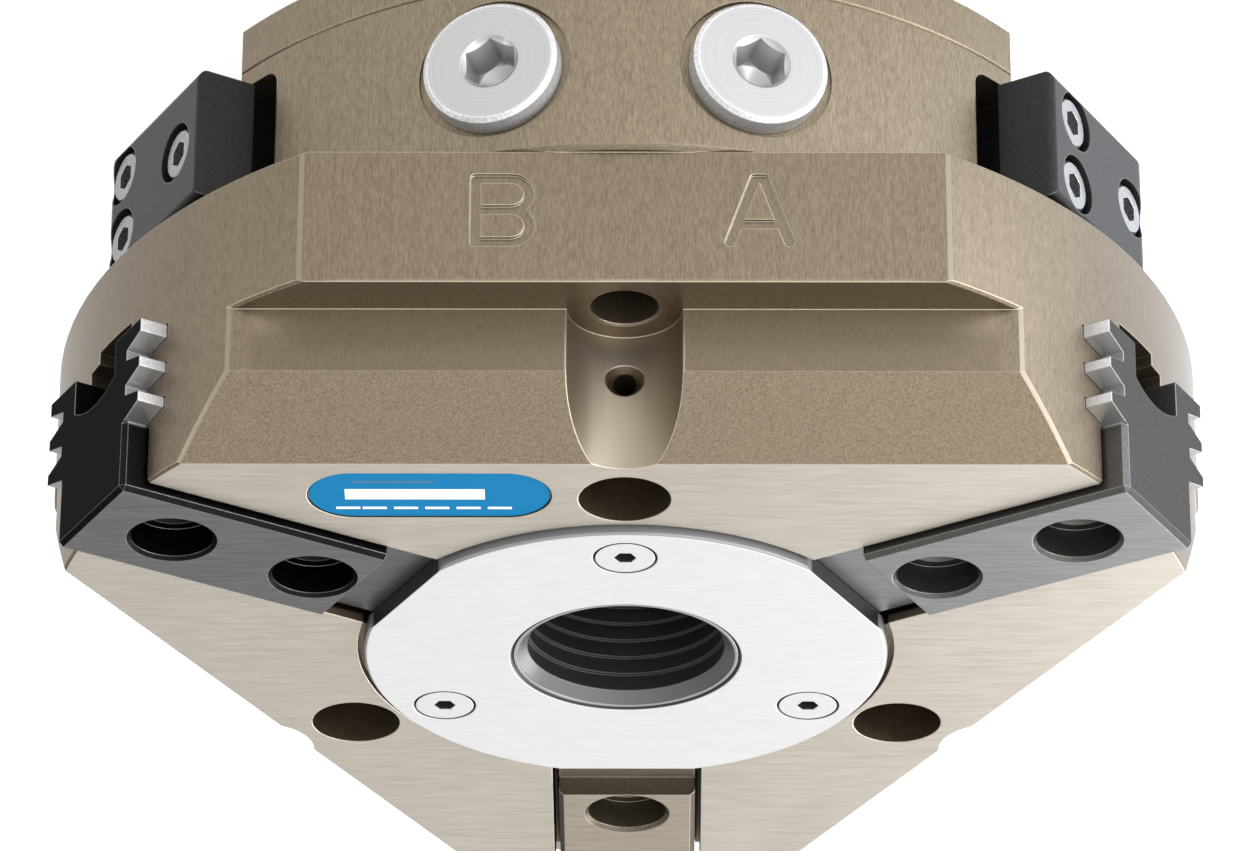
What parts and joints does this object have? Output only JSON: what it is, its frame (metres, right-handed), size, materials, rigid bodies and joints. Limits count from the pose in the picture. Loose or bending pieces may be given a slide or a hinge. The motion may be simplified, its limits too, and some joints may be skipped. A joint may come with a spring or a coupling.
{
  "type": "pneumatic gripper",
  "caption": "Pneumatic centric gripper with radial base jaws in toothed guides, a wedge-hook piston drive, a central through-bore and plugged side air ports.",
  "frame": {"origin": "centre of the rear mounting face, on the axis of the through-bore", "axes": "+Z along the axis from the mounting face to the jaw face, -Y towards the side with the air ports, +Y along the rear jaw, +X to the right seen from the port side"},
  "size_m": [0.1198, 0.1149, 0.0575],
  "materials": {
    "body_anodised": "hard anodised, satin, champagne",
    "plate": "finely brushed",
    "screws": "bright zinc",
    "sleeve": "black anodised",
    "spring_steel": "phosphated",
    "jaw": "ground, dark nitrided",
    "drive_steel": "hardened and ground",
    "piston": "machined",
    "seal": "matte",
    "guide": "matte",
    "plug": "nickel plated",
    "bracket": "black anodised",
    "nameplate": "gloss"
  },
  "bodies": {
    "housing": {"housing": "body_anodised", "rear_cover": "body_anodised", "front_plate": "plate", "plate_screws": "screws", "center_sleeve": "sleeve", "sleeve_ring": "spring_steel", "cover_screws": "screws", "rod_seal": "seal", "sleeve_seal": "seal", "cover_seal": "seal", "channel_plugs": "screws", "port_plug_a": "plug", "port_plug_b": "plug", "plug_seal_a": "seal", "plug_seal_b": "seal", "sensor_bracket_210": "bracket", "sensor_bracket_330": "bracket", "bracket_screws_210": "screws", "bracket_screws_330": "screws", "nameplate": "nameplate"},
    "piston": {"wedge_hook": "drive_steel", "piston": "piston", "piston_nut": "drive_steel", "piston_seal": "seal", "guide_ring": "guide", "neck_seal": "seal"},
    "jaw_090": {"jaw_090": "jaw"},
    "jaw_210": {"jaw_210": "jaw"},
    "jaw_330": {"jaw_330": "jaw"}
  },
  "joints": [
    {"name": "piston_slide", "type": "slide", "parent": "housing", "child": "piston", "axis": [0, 0, -1], "range_m": [0, 0.008]},
    {"name": "jaw_090_slide", "type": "slide", "parent": "housing", "child": "jaw_090", "axis": [0, -1, 0], "range_m": [0, 0.005]},
    {"name": "jaw_210_slide", "type": "slide", "parent": "housing", "child": "jaw_210", "axis": [0.866, 0.5, 0], "range_m": [0, 0.005]},
    {"name": "jaw_330_slide", "type": "slide", "parent": "housing", "child": "jaw_330", "axis": [-0.866, 0.5, 0], "range_m": [0, 0.005]}
  ],
  "couplings": [
    {"joint": "jaw_090_slide", "follows": "piston_slide", "ratio": 0.625},
    {"joint": "jaw_210_slide", "follows": "piston_slide", "ratio": 0.625},
    {"joint": "jaw_330_slide", "follows": "piston_slide", "ratio": 0.625}
  ]
}
